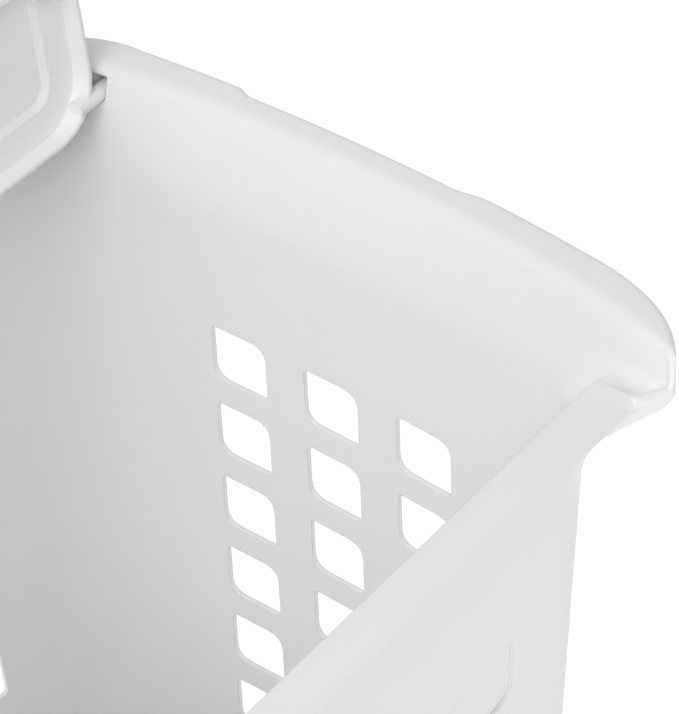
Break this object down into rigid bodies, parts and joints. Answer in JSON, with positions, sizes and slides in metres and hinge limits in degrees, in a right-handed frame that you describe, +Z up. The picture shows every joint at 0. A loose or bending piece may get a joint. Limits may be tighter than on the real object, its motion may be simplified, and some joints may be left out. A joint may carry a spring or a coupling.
{
  "type": "laundry hamper with lid",
  "caption": "Tall white plastic laundry hamper with leaf-shaped vents, a flanged rim with hand grips, and a lid that swings up on side pins.",
  "frame": {"origin": "middle of the flat underside, on the floor plane", "axes": "+Z up, +X to the right seen from the front, +Y to the back where the lid is hinged"},
  "size_m": [0.5306, 0.355, 0.9306],
  "materials": {
    "tub_plastic": "satin moulded polypropylene, white",
    "lid_plastic": "satin moulded polypropylene, white"
  },
  "bodies": {
    "tub": {"tub": "tub_plastic"},
    "lid": {"lid": "lid_plastic"}
  },
  "joints": [
    {"name": "lid_hinge", "type": "hinge", "parent": "tub", "child": "lid", "pos_m": [0, 0.1215, 0.648], "axis": [1, 0, 0], "range_deg": [0, 100]}
  ]
}
